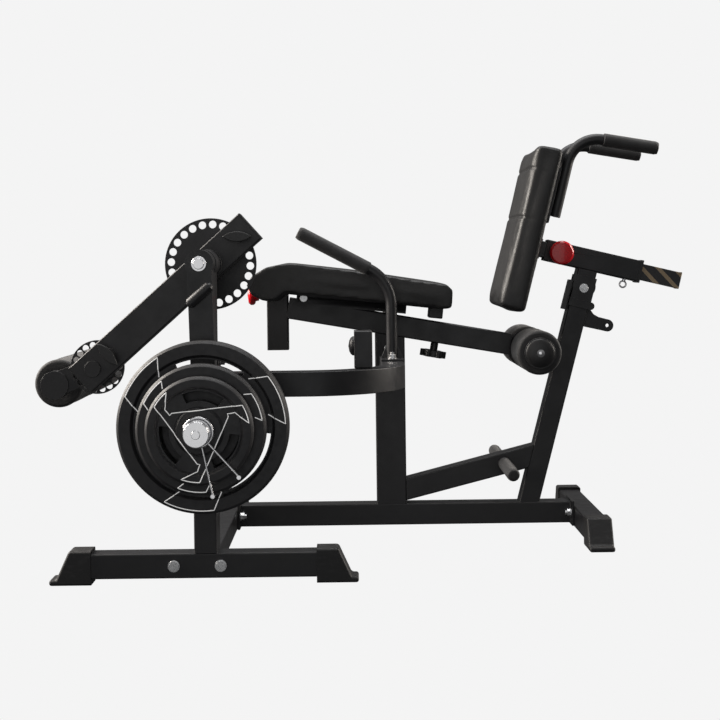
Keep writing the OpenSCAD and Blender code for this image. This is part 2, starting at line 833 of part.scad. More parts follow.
// Channel under the cushion, hinged on the rail at its front and resting on a block at its back
module seat_channel() color(black_paint) {
    difference() {
        at_slope([-218, 570.6], -atan2(41, 376)) {
            translate([0, -33, -4]) cube([330, 66, 4]);
            for (side = [-1, 1])
                translate([0, side * 31 - 2, -24]) cube([260, 4, 21]);
            translate([314, -24, -28.2]) cube([34, 48, 28.2]);
        }
        rod_y(seat_hinge, -40, 40, hinge_pin_d);
        block([-216, -24, 540], [-186, 24, 575]);
        at_slope(rail_start, rail_slope) translate([0, -24.6, -30])
            cube([rail_l, 49.2, tube_d / 2 + 30.3]);
        at_slope(rail_start, rail_slope) translate([300, -40, -30])
            cube([rail_l, 80, tube_d / 2 + 30.3]);
    }
    for (side = [-1, 1])
        translate([seat_hinge[0], side * 33, seat_hinge[1]]) rotate([side * -90, 0, 0]) hex_nut();
    rod_y(seat_hinge, -33, 33, hinge_pin_d);
}

// Clamp knob under the rail, with its screw through the rail
module rail_knob() color(rubber_black) {
    at_slope(rail_start, rail_slope) translate([357, 0, 0]) {
        translate([0, 0, -45]) cylinder(h = 69.8, d = 8);
        translate([0, 0, -44]) cylinder(h = 18, d = 18);
        translate([0, 0, -60]) linear_extrude(16) {
            circle(d = 50);
            for (i = [0 : 5])
                rotate(i * 60) translate([24, 0]) circle(d = 14);
        }
    }
}

// ---- Back rest ----

// Tube that slides in the sleeve, with lock holes and an end cap
module back_slide_tube() color(black_paint) {
    at_slope(sleeve_start, sleeve_slope) difference() {
        translate([-12, 0, 0]) box_tube(sleeve_l + 110, 38, 38, 2);
        for (i = [0 : 3])
            translate([33 + i * 30, 0, 0]) rotate([90, 0, 0]) cylinder(h = 30, d = pin_d + 2);
    }
    at_slope(sleeve_start, sleeve_slope) translate([tail_l - 4, -19, -20]) cube([4, 38, 40]);
}

// Plate between the sliding tube and the pad, with two straps for the handles
module back_plate() color(black_paint) {
    translate([back_foot[0], 0, back_foot[1]]) rotate([0, back_lean, 0]) {
        translate([0, -60, 95]) cube([7, 120, 100]);
        for (side = [-1, 1])
            translate([0, side * back_handle_y - 18, 208]) cube([5, 36, 130]);
    }
    translate([back_foot[0], 0, back_foot[1]]) rotate([0, back_lean, 0])
        translate([7, -24, 126]) cube([6.5, 48, 48]);
}

module back_pad() color(dark_vinyl) {
    translate([back_foot[0], 0, back_foot[1]]) rotate([0, back_lean, 0])
        translate([-back_t, -back_w / 2, -8]) cube([back_t, back_w, back_h]);
}

handle_foot = back_foot + 17.5 * back_out + 226 * back_up;
back_leg = 129;
back_bend_r = 70;
back_turn = 85.5;
back_grip_l = 131;

// Places children at the foot of a back handle, with local Z running up its straight leg
module at_back_handle(side) {
    translate([handle_foot[0], side * back_handle_y, handle_foot[1]])
        rotate([0, back_lean, 0]) children();
}

module back_handles() color(black_paint) {
    for (side = [-1, 1])
        at_back_handle(side) bent_tube(back_leg, back_bend_r, back_turn, back_grip_l);
}

module back_grips() color(foam_black) {
    for (side = [-1, 1])
        at_back_handle(side) at_bend_end(back_leg, back_bend_r, back_turn) foam_grip(back_grip_l);
}

// ---- Spring pins ----

module back_pin() color(red) {
    translate([back_pin_at[0], -tube_d / 2, back_pin_at[1]]) rotate([90, 0, 0])
        mushroom_pin(3, 56);
}

module front_pin() color(red) {
    translate([-290, 0, front_pin_z]) rotate([0, -90, 0]) mushroom_pin(3, 48);
}

// Small plunger with a pull ring under the end of the sleeve
module ring_pin() color(chrome) {
    translate([ring_pin_at[0], 0, ring_pin_at[1]]) rotate([0, -sleeve_slope, 0]) {
        translate([0, 0, -31]) cylinder(h = 9, d = 8);
        translate([0, 2, -38]) rotate([90, 0, 0]) rotate_extrude()
            translate([7.5, 0]) circle(d = 4, $fn = 24);
    }
}

placed() side_foot();
placed() side_foot_caps();
placed() cross_tube();
placed() cross_tube_cap();
placed() rear_foot();
placed() rear_foot_caps();
placed() main_beam();
placed() upright();
placed() lower_strut();
placed() rear_post();
placed() side_post();
placed() side_brace();
placed() handle_stay();
placed() seat_rail();
placed() front_socket();
placed() back_sleeve();
placed() sleeve_glide();
placed() lock_plate();
placed() foot_bar();
placed() foot_bar_grips();
placed() arm_stop();
placed() frame_bolts();
placed() seat_handle_feet();
placed() seat_handles();
placed() seat_grips();
placed() pivot_bearings();
placed() rail_axle();
placed() rail_roller_near();
placed() rail_roller_far();
placed() weight_lever();
placed() pivot_shaft();
placed() selector_disc();
placed() plate_horn();
placed() large_plate();
placed() medium_plate();
placed() small_plate();
placed() spring_clip();
placed() swing_arm();
placed() arm_plugs();
placed() arm_bushes();
placed() arm_pin();
placed() roller_link();
placed() link_pivot();
placed() link_disc();
placed() link_pin();
placed() shin_axle();
placed() shin_roller_near();
placed() shin_roller_far();
placed() seat_pad();
placed() seat_channel();
placed() rail_knob();
placed() back_slide_tube();
placed() back_plate();
placed() back_pad();
placed() back_handles();
placed() back_grips();
placed() back_pin();
placed() front_pin();
placed() ring_pin();
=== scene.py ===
"""Looks for the leg extension machine: rounded metalwork, upholstery, foam, plates, light and camera."""
import json
import math

import bmesh
import bpy
from mathutils import Matrix, Vector, noise
from mathutils.bvhtree import BVHTree


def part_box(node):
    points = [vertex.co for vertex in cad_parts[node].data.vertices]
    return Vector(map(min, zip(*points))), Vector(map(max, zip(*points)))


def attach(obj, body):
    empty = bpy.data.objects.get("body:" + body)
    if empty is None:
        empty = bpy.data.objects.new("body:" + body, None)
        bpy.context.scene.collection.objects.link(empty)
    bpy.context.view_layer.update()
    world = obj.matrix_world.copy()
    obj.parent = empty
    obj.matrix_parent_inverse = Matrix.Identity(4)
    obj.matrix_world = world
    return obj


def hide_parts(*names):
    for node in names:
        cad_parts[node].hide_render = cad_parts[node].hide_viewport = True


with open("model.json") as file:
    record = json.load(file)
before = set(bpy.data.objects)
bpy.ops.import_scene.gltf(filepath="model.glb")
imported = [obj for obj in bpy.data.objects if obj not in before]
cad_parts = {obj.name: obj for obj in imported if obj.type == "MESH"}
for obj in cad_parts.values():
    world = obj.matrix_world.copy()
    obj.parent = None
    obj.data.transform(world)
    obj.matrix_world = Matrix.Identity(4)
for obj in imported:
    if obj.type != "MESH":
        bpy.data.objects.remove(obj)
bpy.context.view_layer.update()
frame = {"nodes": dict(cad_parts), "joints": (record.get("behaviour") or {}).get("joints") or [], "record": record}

# Which body each CAD node rides on
NODE_BODY = {n: body for body, nodes in frame["record"]["behaviour"]["bodies"].items() for n in nodes}

MM = 0.001

# Edges that bend less than this, in degrees, are facets of one smooth face and are merged
FACET_BEND = 0.6
# Edges that bend more than these, in degrees, get a tube's rolled corner or an eased edge
CORNER_BEND = 50
EDGE_BEND = 42
# A face with more area than its outline times this width can carry a tube's corner radius
BROAD_FACE = 4 * MM
# Points closer than this are one point
WELD = 0.004 * MM
# How many degrees a cushion's smooth surface may bend before it shows an edge
SOFT_BEND = 80


# ---- Small material kit ----

def start_material(name):
    """A new node material, with its tree and its Principled node."""
    mat = bpy.data.materials.new(name)
    mat.use_nodes = True
    tree = mat.node_tree
    return mat, tree, tree.nodes["Principled BSDF"]


def coords(tree, stretch=(1.0, 1.0, 1.0)):
    """Object coordinates in metres, optionally stretched along the axes."""
    place = tree.nodes.new("ShaderNodeTexCoord")
    mapping = tree.nodes.new("ShaderNodeMapping")
    mapping.inputs["Scale"].default_value = stretch
    tree.links.new(place.outputs["Object"], mapping.inputs["Vector"])
    return mapping.outputs["Vector"]


def noise_value(tree, scale, detail=3.0, stretch=(1.0, 1.0, 1.0)):
    """Noise from 0 to 1 with the given number of lumps a metre."""
    tex = tree.nodes.new("ShaderNodeTexNoise")
    tex.inputs["Scale"].default_value = scale
    tex.inputs["Detail"].default_value = detail
    tree.links.new(coords(tree, stretch), tex.inputs["Vector"])
    return tex.outputs["Fac"]


def cells(tree, scale, feature="F1"):
    """Distance to the nearest point of a scattered cell pattern."""
    tex = tree.nodes.new("ShaderNodeTexVoronoi")
    tex.feature = feature
    tex.inputs["Scale"].default_value = scale
    tree.links.new(coords(tree), tex.inputs["Vector"])
    return tex.outputs["Distance"]


def remap(tree, value, low, high, out_low, out_high):
    """A value moved from one range to another, clamped."""
    node = tree.nodes.new("ShaderNodeMapRange")
    for key, number in (("From Min", low), ("From Max", high), ("To Min", out_low), ("To Max", out_high)):
        node.inputs[key].default_value = number
    tree.links.new(value, node.inputs["Value"])
    return node.outputs["Result"]


def mix_colour(tree, factor, first, second):
    """Two colours, each a tuple or a socket, mixed by a factor."""
    node = tree.nodes.new("ShaderNodeMix")
    node.data_type = "RGBA"
    tree.links.new(factor, node.inputs[0])
    for socket, colour in ((node.inputs[6], first), (node.inputs[7], second)):
        if isinstance(colour, tuple):
            socket.default_value = (*colour, 1.0)
        else:
            tree.links.new(colour, socket)
    return node.outputs[2]


def bump(tree, height, strength, distance, under=None):
    """A bump from a height, stacked on another bump if one is given."""
    node = tree.nodes.new("ShaderNodeBump")
    node.inputs["Strength"].default_value = strength
    node.inputs["Distance"].default_value = distance
    tree.links.new(height, node.inputs["Height"])
    if under is not None:
        tree.links.new(under, node.inputs["Normal"])
    return node.outputs["Normal"]


def edge_mask(tree, radius):
    """Near 1 along convex and concave edges, from how far a bevelled normal leans from the true one."""
    bevel = tree.nodes.new("ShaderNodeBevel")
    bevel.samples = 4
    bevel.inputs["Radius"].default_value = radius
    geometry = tree.nodes.new("ShaderNodeNewGeometry")
    dot = tree.nodes.new("ShaderNodeVectorMath")
    dot.operation = "DOT_PRODUCT"
    tree.links.new(bevel.outputs["Normal"], dot.inputs[0])
    tree.links.new(geometry.outputs["True Normal"], dot.inputs[1])
    return remap(tree, dot.outputs["Value"], 0.97, 0.8, 0.0, 1.0)


# ---- Materials ----

def powder_paint():
    """Black powder coat: fine orange peel, uneven sheen, edges painted lighter as a painted highlight."""
    mat, tree, bsdf = start_material("powder_paint")
    body = mix_colour(tree, noise_value(tree, 9), (0.014, 0.014, 0.016), (0.022, 0.022, 0.024))
    # Every edge is painted lighter: a painted highlight along the edges.
    edge_highlight = mix_colour(tree, edge_mask(tree, 0.0025), body, (0.055, 0.055, 0.058))
    tree.links.new(edge_highlight, bsdf.inputs["Base Color"])
    tree.links.new(remap(tree, noise_value(tree, 30), 0.3, 0.7, 0.33, 0.46), bsdf.inputs["Roughness"])
    tree.links.new(bump(tree, noise_value(tree, 850, 2.0), 0.18, 0.0006), bsdf.inputs["Normal"])
    return mat


def moulded_rubber():
    """Dull black rubber with a grainy mould texture and scuffs."""
    mat, tree, bsdf = start_material("moulded_rubber")
    scuff = remap(tree, noise_value(tree, 45, 6.0, (1, 1, 3)), 0.55, 0.75, 0.0, 1.0)
    colour = mix_colour(tree, scuff, (0.018, 0.018, 0.019), (0.04, 0.04, 0.042))
    tree.links.new(colour, bsdf.inputs["Base Color"])
    tree.links.new(remap(tree, scuff, 0.0, 1.0, 0.55, 0.75), bsdf.inputs["Roughness"])
    tree.links.new(bump(tree, noise_value(tree, 1500, 1.0), 0.3, 0.0004), bsdf.inputs["Normal"])
    return mat


def foam():
    """Closed-cell foam: tiny pits over soft waves."""
    mat, tree, bsdf = start_material("foam_skin")
    tint = mix_colour(tree, noise_value(tree, 25, 4.0), (0.017, 0.017, 0.018), (0.034, 0.034, 0.036))
    tree.links.new(tint, bsdf.inputs["Base Color"])
    tree.links.new(remap(tree, noise_value(tree, 60), 0.3, 0.7, 0.58, 0.74), bsdf.inputs["Roughness"])
    waves = bump(tree, noise_value(tree, 40, 2.0), 0.25, 0.002)
    pits = bump(tree, cells(tree, 700), 0.35, 0.0006, waves)
    tree.links.new(pits, bsdf.inputs["Normal"])
    bsdf.inputs["Sheen Weight"].default_value = 0.15
    return mat


def vinyl():
    """Black upholstery vinyl: pebbled leather grain with creases painted darker as painted shade, and a soft
    sheen.
    """
    mat, tree, bsdf = start_material("black_vinyl")
    tint = mix_colour(tree, noise_value(tree, 14, 4.0), (0.016, 0.016, 0.017), (0.028, 0.028, 0.029))
    creases = remap(tree, cells(tree, 520, "DISTANCE_TO_EDGE"), 0.0, 0.12, 0.0, 1.0)
    # The grain's creases are painted near-black: painted shade in the creases.
    tree.links.new(mix_colour(tree, creases, (0.008, 0.008, 0.008), tint), bsdf.inputs["Base Color"])
    tree.links.new(remap(tree, noise_value(tree, 50), 0.3, 0.7, 0.36, 0.5), bsdf.inputs["Roughness"])
    soft = bump(tree, noise_value(tree, 22, 3.0), 0.2, 0.004)
    tree.links.new(bump(tree, creases, 0.22, 0.0005, soft), bsdf.inputs["Normal"])
    return mat


def plate_rubber():
    """Rubber-coated iron plate: satin black with a fine cast pebble and edges painted lighter as a painted
    highlight.
    """
    mat, tree, bsdf = start_material("plate_rubber")
    tint = mix_colour(tree, noise_value(tree, 30, 5.0), (0.019, 0.019, 0.021), (0.034, 0.034, 0.037))
    # Every edge is painted lighter: a painted highlight along the edges.
    edge_highlight = mix_colour(tree, edge_mask(tree, 0.003), tint, (0.05, 0.05, 0.053))
    tree.links.new(edge_highlight, bsdf.inputs["Base Color"])
    tree.links.new(remap(tree, noise_value(tree, 80), 0.3, 0.7, 0.4, 0.55), bsdf.inputs["Roughness"])
    tree.links.new(bump(tree, noise_value(tree, 1100, 2.0), 0.22, 0.0005), bsdf.inputs["Normal"])
    return mat


def chrome():
    """Bright plating with hairline wipe marks and slight waves."""
    mat, tree, bsdf = start_material("chrome_plate")
    bsdf.inputs["Metallic"].default_value = 1.0
    haze = mix_colour(tree, noise_value(tree, 60, 4.0), (0.82, 0.82, 0.84), (0.93, 0.93, 0.94))
    tree.links.new(haze, bsdf.inputs["Base Color"])
    lines = noise_value(tree, 700, 2.0, (1, 0.05, 1))
    tree.links.new(remap(tree, lines, 0.35, 0.75, 0.07, 0.2), bsdf.inputs["Roughness"])
    tree.links.new(bump(tree, noise_value(tree, 35), 0.06, 0.001), bsdf.inputs["Normal"])
    return mat


def part_chrome(name, limit):
    """Chrome nearer than a place along Y, black paint beyond it."""
    mat, tree, bsdf = start_material(name)
    split = tree.nodes.new("ShaderNodeSeparateXYZ")
    tree.links.new(coords(tree), split.inputs["Vector"])
    dark = remap(tree, split.outputs["Y"], limit - 0.0002, limit + 0.0002, 0.0, 1.0)
    bright = mix_colour(tree, noise_value(tree, 60, 4.0), (0.82, 0.82, 0.84), (0.93, 0.93, 0.94))
    tree.links.new(mix_colour(tree, dark, bright, (0.014, 0.014, 0.016)), bsdf.inputs["Base Color"])
    tree.links.new(remap(tree, dark, 0.0, 1.0, 1.0, 0.0), bsdf.inputs["Metallic"])
    tree.links.new(remap(tree, dark, 0.0, 1.0, 0.14, 0.4), bsdf.inputs["Roughness"])
    tree.links.new(bump(tree, noise_value(tree, 850, 2.0), 0.12, 0.0004), bsdf.inputs["Normal"])
    return mat


def zinc():
    """Zinc-plated hardware, duller than chrome."""
    mat, tree, bsdf = start_material("zinc_plate")
    bsdf.inputs["Metallic"].default_value = 1.0
    tint = mix_colour(tree, noise_value(tree, 200, 5.0), (0.55, 0.56, 0.57), (0.8, 0.8, 0.81))
    tree.links.new(tint, bsdf.inputs["Base Color"])
    tree.links.new(remap(tree, noise_value(tree, 400), 0.3, 0.7, 0.2, 0.38), bsdf.inputs["Roughness"])
    tree.links.new(bump(tree, noise_value(tree, 900), 0.15, 0.0003), bsdf.inputs["Normal"])
    return mat


def red_knob():
    """Glossy red moulded plastic with faint flow marks."""
    mat, tree, bsdf = start_material("red_plastic")
    tint = mix_colour(tree, noise_value(tree, 120, 4.0), (0.72, 0.004, 0.012), (0.86, 0.012, 0.022))
    tree.links.new(tint, bsdf.inputs["Base Color"])
    tree.links.new(remap(tree, noise_value(tree, 90), 0.3, 0.7, 0.18, 0.32), bsdf.inputs["Roughness"])
    tree.links.new(bump(tree, noise_value(tree, 500), 0.1, 0.0003), bsdf.inputs["Normal"])
    bsdf.inputs["Coat Weight"].default_value = 0.4
    return mat


def black_plastic():
    """Satin black moulded plastic with a spark-eroded texture."""
    mat, tree, bsdf = start_material("black_plastic")
    tint = mix_colour(tree, noise_value(tree, 80, 4.0), (0.014, 0.014, 0.015), (0.026, 0.026, 0.027))
    tree.links.new(tint, bsdf.inputs["Base Color"])
    tree.links.new(remap(tree, noise_value(tree, 150), 0.3, 0.7, 0.32, 0.45), bsdf.inputs["Roughness"])
    tree.links.new(bump(tree, noise_value(tree, 2200, 1.0), 0.25, 0.0003), bsdf.inputs["Normal"])
    return mat


def bronze():
    """Oiled sintered bronze."""
    mat, tree, bsdf = start_material("bronze")
    bsdf.inputs["Metallic"].default_value = 1.0
    tint = mix_colour(tree, noise_value(tree, 300, 5.0), (0.42, 0.26, 0.12), (0.62, 0.42, 0.2))
    tree.links.new(tint, bsdf.inputs["Base Color"])
    tree.links.new(remap(tree, noise_value(tree, 500), 0.3, 0.7, 0.3, 0.5), bsdf.inputs["Roughness"])
    return mat


def white_ink():
    """Printed white line work, slightly uneven, made to glow as a painted highlight."""
    mat, tree, bsdf = start_material("white_ink")
    tint = mix_colour(tree, noise_value(tree, 600, 3.0), (0.8, 0.8, 0.79), (0.95, 0.95, 0.94))
    tree.links.new(tint, bsdf.inputs["Base Color"])
    # The ink glows though it is no lamp: a painted highlight that keeps the lines bright.
    tree.links.new(tint, bsdf.inputs["Emission Color"])
    bsdf.inputs["Emission Strength"].default_value = 0.36
    tree.links.new(remap(tree, noise_value(tree, 300), 0.3, 0.7, 0.45, 0.6), bsdf.inputs["Roughness"])
    return mat


def thread():
    """Upholstery thread."""
    mat, tree, bsdf = start_material("thread")
    tint = mix_colour(tree, noise_value(tree, 900, 3.0), (0.03, 0.03, 0.031), (0.07, 0.07, 0.072))
    tree.links.new(tint, bsdf.inputs["Base Color"])
    tree.links.new(remap(tree, noise_value(tree, 700), 0.3, 0.7, 0.5, 0.7), bsdf.inputs["Roughness"])
    return mat


PAINT = powder_paint()
RUBBER = moulded_rubber()
FOAM = foam()
VINYL = vinyl()
PLATE = plate_rubber()
CHROME = chrome()
ZINC = zinc()
RED = red_knob()
PLASTIC = black_plastic()
BRONZE = bronze()
INK = white_ink()
THREAD = thread()


# ---- Mesh kit ----

def add_piece(name, mesh, material, body, replaced=()):
    """Puts a finished mesh in the scene, riding on a body and standing for CAD nodes."""
    obj = bpy.data.objects.new(name, mesh)
    bpy.context.scene.collection.objects.link(obj)
    mesh.materials.clear()
    mesh.materials.append(material)
    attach(obj, body)
    if replaced:
        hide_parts(*replaced)
    return obj


def smooth(mesh, angle=38):
    """Smooth shading, with edges sharper than the angle kept crisp."""
    for polygon in mesh.polygons:
        polygon.use_smooth = True
    mesh.set_sharp_from_angle(angle=math.radians(angle))


def wide_face(face):
    """True for a face broad enough to carry a tube's corner radius."""
    return face.calc_area() > BROAD_FACE * face.calc_perimeter()


def rounded(node, material, corner=3.2 * MM, fine=0.7 * MM, segments=3):
    """Stands for a CAD node: the same shape with rolled tube corners and eased edges."""
    mesh = frame["nodes"][node].data.copy()
    mesh.name = node + "_rounded"
    bm = bmesh.new()
    bm.from_mesh(mesh)
    bmesh.ops.remove_doubles(bm, verts=bm.verts, dist=WELD)
    bmesh.ops.dissolve_limit(bm, angle_limit=math.radians(FACET_BEND), verts=bm.verts, edges=bm.edges)

    def sharp(edge, limit):
        return len(edge.link_faces) == 2 and edge.calc_face_angle(0.0) > math.radians(limit)

    if corner > 0:
        broad = [e for e in bm.edges if sharp(e, CORNER_BEND) and all(wide_face(f) for f in e.link_faces)]
        if broad:
            bmesh.ops.bevel(bm, geom=broad, offset=corner, offset_type="OFFSET", segments=segments,
                            profile=0.5, affect="EDGES", clamp_overlap=False)
    if fine > 0:
        rest = [e for e in bm.edges if sharp(e, EDGE_BEND)]
        if rest:
            bmesh.ops.bevel(bm, geom=rest, offset=fine, offset_type="OFFSET", segments=2,
                            profile=0.5, affect="EDGES", clamp_overlap=True)
    bmesh.ops.recalc_face_normals(bm, faces=bm.faces)
    bm.to_mesh(mesh)
    bm.free()
    smooth(mesh)
    skin = add_piece(node + "_skin", mesh, material, NODE_BODY[node], (node,))
    flat = skin.modifiers.new("flat_faces", "WEIGHTED_NORMAL")
    flat.keep_sharp = True
    flat.weight = 100
    return skin


def revolve(name, profile, centre, y_axis, material, body, replaced=(), steps=72):
    """A solid turned round an axis along Y through centre; profile is (distance along Y, radius)."""
    bm = bmesh.new()
    rings = []
    for along, radius in profile:
        ring = []
        for i in range(steps):
            turn = 2 * math.pi * i / steps
            ring.append(bm.verts.new((centre[0] + radius * math.cos(turn), y_axis + along,
                                      centre[1] + radius * math.sin(turn))))
        rings.append(ring)
    for low, high in zip(rings, rings[1:]):
        for i in range(steps):
            j = (i + 1) % steps
            bm.faces.new((low[i], low[j], high[j], high[i]))
    bm.faces.new(rings[0])
    bm.faces.new(rings[-1])
    bmesh.ops.recalc_face_normals(bm, faces=bm.faces)
    mesh = bpy.data.meshes.new(name)
    bm.to_mesh(mesh)
    bm.free()
    smooth(mesh)
    return add_piece(name, mesh, material, body, replaced)


def wire(name, points, radius, material, body, closed=False, sides=10):
    """A round wire along a list of points."""
    count = len(points)
    bm = bmesh.new()
    rings = []
    side = None
    for i, point in enumerate(points):
        before = points[(i - 1) % count] if closed or i else points[0]
        after = points[(i + 1) % count] if closed or i < count - 1 else points[-1]
        along = (after - before).normalized()
        if side is None:
            side = Vector((0, 1, 0)) if abs(along.y) < 0.9 else Vector((1, 0, 0))
        side = (side - along * side.dot(along)).normalized()
        other = along.cross(side)
        rings.append([bm.verts.new(point + radius * (math.cos(a) * side + math.sin(a) * other))
                      for a in (2 * math.pi * k / sides for k in range(sides))])
    pairs = list(zip(rings, rings[1:]))
    if closed:
        pairs.append((rings[-1], rings[0]))
    for low, high in pairs:
        for k in range(sides):
            m = (k + 1) % sides
            bm.faces.new((low[k], low[m], high[m], high[k]))
    if not closed:
        bm.faces.new(rings[0])
        bm.faces.new(rings[-1])
    bmesh.ops.recalc_face_normals(bm, faces=bm.faces)
    mesh = bpy.data.meshes.new(name)
    bm.to_mesh(mesh)
    bm.free()
    smooth(mesh)
    return add_piece(name, mesh, material, body)


def arc(centre, radius, start, end, y, steps=24):
    """Points on an arc in the XZ plane, angles in degrees."""
    return [Vector((centre[0] + radius * math.cos(math.radians(a)), y,
                    centre[1] + radius * math.sin(math.radians(a))))
            for a in (start + (end - start) * i / steps for i in range(steps + 1))]


def middle_of(node):
    """(x, z) centre of a node's box."""
    low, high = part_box(node)
    return ((low.x + high.x) / 2, (low.z + high.z) / 2)


# ---- Metalwork that keeps its CAD shape ----

def build_metalwork():
    """Rounded skins over the CAD frame, lever, arm and hardware."""
    tubes = ("side_foot", "cross_tube", "rear_foot", "main_beam", "upright", "lower_strut", "rear_post",
             "side_post", "handle_stay", "seat_rail", "front_socket", "back_sleeve", "arm_stop",
             "swing_arm", "seat_channel", "back_plate", "seat_handle_feet")
    for node in tubes:
        rounded(node, PAINT)
    for node in ("side_brace", "weight_lever", "lock_plate", "roller_link"):
        rounded(node, PAINT, corner=0, fine=1.5 * MM)
    for node in ("selector_disc", "link_disc", "foot_bar", "rail_axle", "shin_axle", "link_pivot"):
        rounded(node, PAINT, corner=0)
    for node in ("seat_handles", "back_handles"):
        rounded(node, PAINT, corner=0, fine=0)
    for node in ("side_foot_caps", "rear_foot_caps", "cross_tube_cap"):
        rounded(node, RUBBER, corner=5 * MM, fine=1.2 * MM, segments=4)
    for node in ("arm_plugs", "sleeve_glide"):
        rounded(node, PLASTIC, corner=1.5 * MM)
    for node in ("arm_pin", "link_pin"):
        rounded(node, PLASTIC, corner=0, fine=2 * MM)
    rounded("rail_knob", PLASTIC, corner=0, fine=1.5 * MM)
    for node in ("back_pin", "front_pin"):
        rounded(node, RED, corner=0, fine=0.8 * MM)


def build_bright_metal():
    """Rounded skins over the chrome, zinc and bronze pieces."""
    for node in ("plate_horn", "ring_pin"):
        rounded(node, CHROME, corner=0)
    rounded("spring_clip", CHROME, corner=0, fine=0)
    bright_length = 14 * MM
    bright_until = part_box("pivot_shaft")[0].y + bright_length
    rounded("pivot_shaft", part_chrome("pivot_metal", bright_until), corner=0)
    for node in ("frame_bolts", "pivot_bearings"):
        rounded(node, ZINC, corner=0, fine=0.5 * MM)
    rounded("arm_bushes", BRONZE, corner=0)


# Profile of a hinge bolt's head, as (distance in from its face, radius) in mm
HINGE_BOLT = ((0, 5), (0, 8.5), (1, 9.5), (7, 9.5), (7, 5))


def build_hinge_bolts():
    """Bright bolt heads on both ends of the seat's hinge pin."""
    low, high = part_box("seat_channel")
    hinge = next(j for j in frame["joints"] if j["name"] == "seat_tilt")
    x, _, z = hinge["pos_m"]
    head = [(along * MM, radius * MM) for along, radius in HINGE_BOLT]
    back = [(-along, radius) for along, radius in head]
    proud = 0.6 * MM
    revolve("hinge_bolt_near", head, (x, z), low.y - proud, ZINC, "seat")
    revolve("hinge_bolt_far", back, (x, z), high.y + proud, ZINC, "seat")


# ---- Sliding tube with its scale bands ----

def math_node(tree, operation, first, second, third=None):
    """A Math node over two or three values, each a number or a socket."""
    node = tree.nodes.new("ShaderNodeMath")
    node.operation = operation
    for slot, value in enumerate((first, second, third)):
        if isinstance(value, (int, float)):
            node.inputs[slot].default_value = value
        elif value is not None:
            tree.links.new(value, node.inputs[slot])
    return node.outputs["Value"]


def build_slide_tube():
    """Dark tube with two pale slanting bands at its rear end."""
    mat, tree, bsdf = start_material("banded_tube")
    rear_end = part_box("back_slide_tube")[1].x
    banded_length = 97 * MM
    half_pitch = 19 * MM
    band_edge = 13 * MM
    band_slant = 0.9
    blur = 0.5 * MM
    beige = (0.42, 0.31, 0.19)
    place = tree.nodes.new("ShaderNodeTexCoord")
    split = tree.nodes.new("ShaderNodeSeparateXYZ")
    tree.links.new(place.outputs["Object"], split.inputs["Vector"])
    slanted = math_node(tree, "MULTIPLY_ADD", split.outputs["Z"], band_slant, split.outputs["X"])
    phase = math_node(tree, "PINGPONG", slanted, half_pitch)
    bands = remap(tree, phase, band_edge - blur, band_edge + blur, 0.0, 1.0)
    start = rear_end - banded_length
    rear = remap(tree, split.outputs["X"], start - 2 * blur, start + 2 * blur, 0.0, 1.0)
    dark = mix_colour(tree, noise_value(tree, 200, 5.0), (0.02, 0.02, 0.022), (0.045, 0.045, 0.048))
    banded = mix_colour(tree, math_node(tree, "MULTIPLY", bands, rear), dark, beige)
    tree.links.new(banded, bsdf.inputs["Base Color"])
    tree.links.new(remap(tree, noise_value(tree, 90), 0.3, 0.7, 0.3, 0.45), bsdf.inputs["Roughness"])
    tree.links.new(bump(tree, noise_value(tree, 900), 0.15, 0.0004), bsdf.inputs["Normal"])
    rounded("back_slide_tube", mat, corner=2 * MM)


# ---- Foam ----

def soft_cylinder(node, swell, edge, hole):
    """A foam roller turned to the CAD solid's size, with rounded ends and a faint wave along it."""
    low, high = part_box(node)
    centre = middle_of(node)
    radius = (high.z - low.z) / 2
    length = high.y - low.y
    corner_steps = 8
    rows = 26
    wave_height = 0.5 * MM
    skin_inset = 0.3 * MM
    end = [(1.5 * MM, hole), (0.8 * MM, hole + 2 * MM), (0.5 * MM, radius * 0.72)]
    for i in range(corner_steps + 1):
        turn = math.pi / 2 * i / corner_steps
        end.append((edge - edge * math.cos(turn), radius - edge + edge * math.sin(turn)))
    profile = list(end)
    for i in range(1, rows):
        share = i / rows
        along = edge + (length - 2 * edge) * share
        wave = noise.noise(Vector((along * 40, radius * 9, 1.7))) * wave_height
        waist = swell * (1 - math.sin(math.pi * share))
        profile.append((along, radius - waist + wave - skin_inset))
    profile += [(length - along, r) for along, r in reversed(end)]
    revolve(node + "_foam", profile, centre, low.y, FOAM, NODE_BODY[node], (node,), steps=96)


# Profiles of the rail rollers' end caps and their bolts, as (distance out, radius) in mm
CAP_DOME = ((0, 33), (1.5, 32), (4, 27), (6.5, 17), (7.2, 9))
CAP_BOLT = ((0, 9), (2.5, 8.5), (4.5, 5), (5, 2))


def build_foam():
    """Foam rollers and foam grips."""
    for node in ("shin_roller_near", "shin_roller_far", "rail_roller_near", "rail_roller_far"):
        soft_cylinder(node, swell=0.8 * MM, edge=7 * MM, hole=11 * MM)
    for node in ("foot_bar_grips", "seat_grips", "back_grips"):
        mesh = remeshed(node, 0, 2 * MM, 9)
        smooth(mesh, SOFT_BEND)
        add_piece(node + "_foam", mesh, FOAM, NODE_BODY[node], (node,))


def build_rail_caps():
    """Domed caps with a bright bolt on both ends of the rail rollers' axle."""
    centre = middle_of("rail_axle")
    low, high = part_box("rail_axle")
    sunk = 0.5 * MM
    bolt_height = 6 * MM
    for side, name, face in ((-1, "near", low.y), (1, "far", high.y)):
        dome = [(side * along * MM, radius * MM) for along, radius in CAP_DOME]
        bolt = [(side * along * MM, radius * MM) for along, radius in CAP_BOLT]
        revolve("rail_cap_" + name, dome, centre, face - side * sunk, PLASTIC, "frame")
        revolve("rail_cap_bolt_" + name, bolt, centre, face + side * bolt_height, CHROME, "frame")


# ---- Upholstery ----

